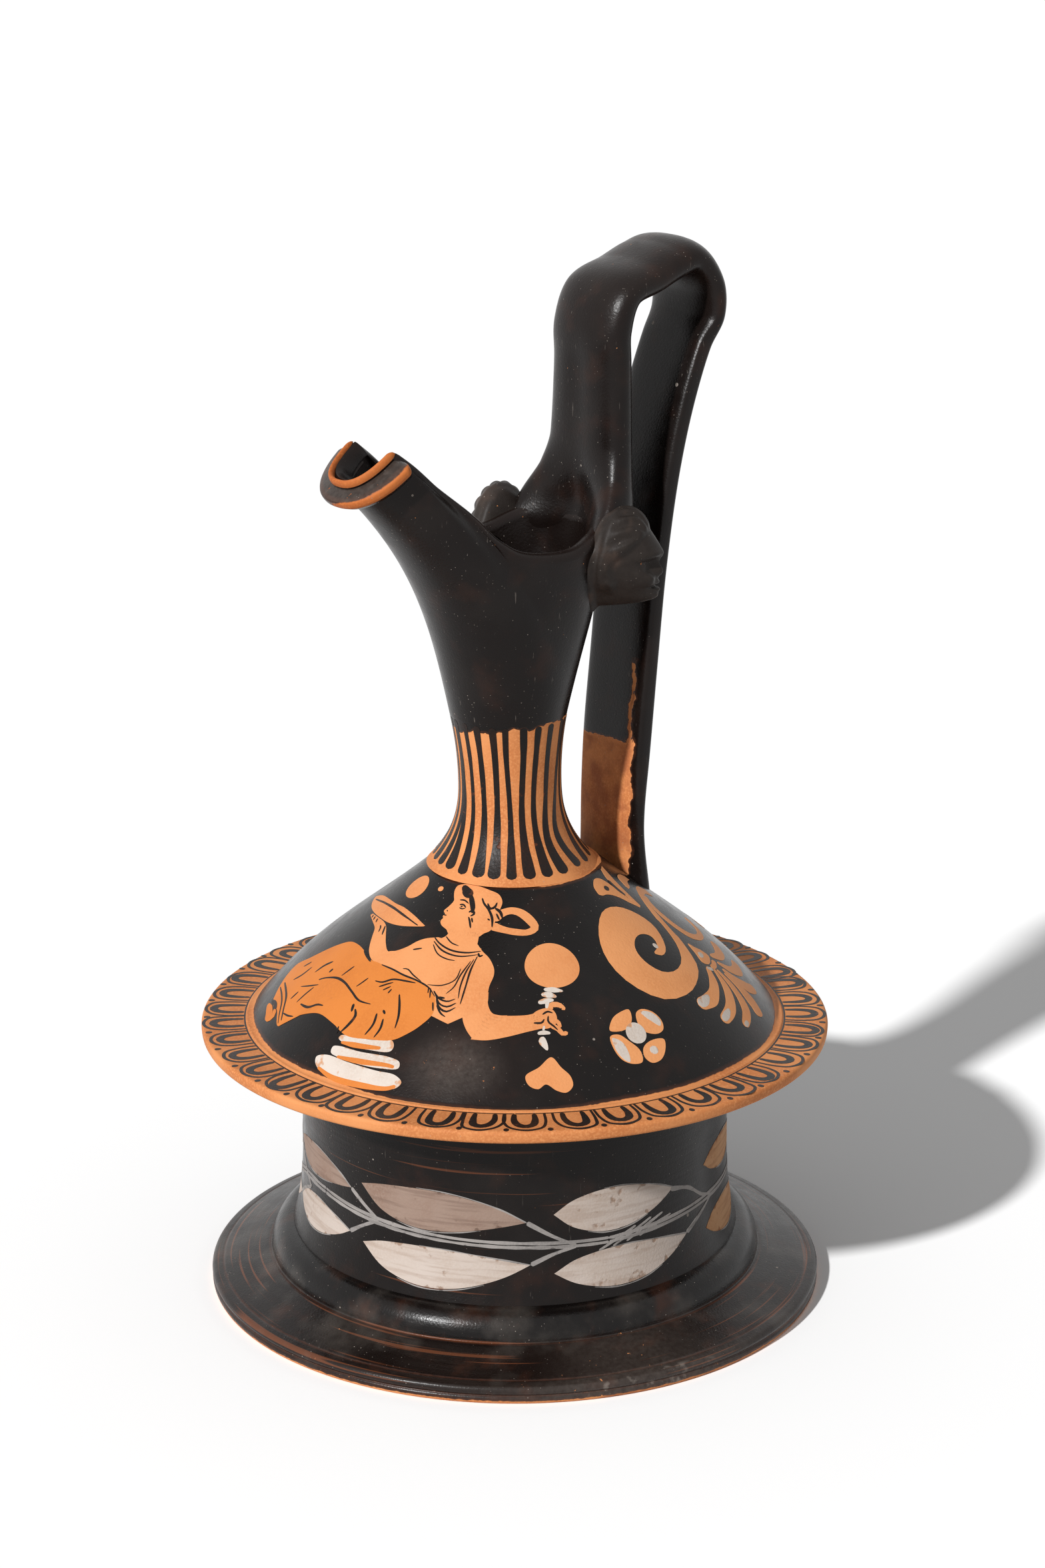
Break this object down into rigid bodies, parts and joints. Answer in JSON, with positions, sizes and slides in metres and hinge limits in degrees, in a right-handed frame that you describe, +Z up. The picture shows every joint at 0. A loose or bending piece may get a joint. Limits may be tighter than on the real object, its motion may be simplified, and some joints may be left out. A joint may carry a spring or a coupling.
{
  "type": "spouted jug",
  "caption": "Slender ceramic pouring jug with a spool-shaped body, broad foot and flange, thin neck, open beaked spout and high strap handle, painted in black gloss over reserved clay.",
  "frame": {"origin": "centre of the resting face under the foot", "axes": "+Z up along the body's axis, -X towards the spout, +X towards the handle; the solids are mirror-equal across the plane y = 0"},
  "size_m": [0.1054, 0.1054, 0.1753],
  "materials": {
    "black_gloss_body": "satin black slip gloss with reserved clay figures",
    "black_gloss_worn": "worn satin black slip gloss",
    "striped_clay": "burnished clay with black strokes",
    "bare_clay": "burnished clay"
  },
  "bodies": {
    "root": {"foot": "black_gloss_body", "drum": "black_gloss_body", "shoulder": "black_gloss_body", "neck": "striped_clay", "mouth": "black_gloss_worn", "lip_collar": "bare_clay", "lip_bead": "bare_clay", "handle": "black_gloss_worn", "head_left": "black_gloss_worn", "head_right": "black_gloss_worn"}
  },
  "joints": []
}
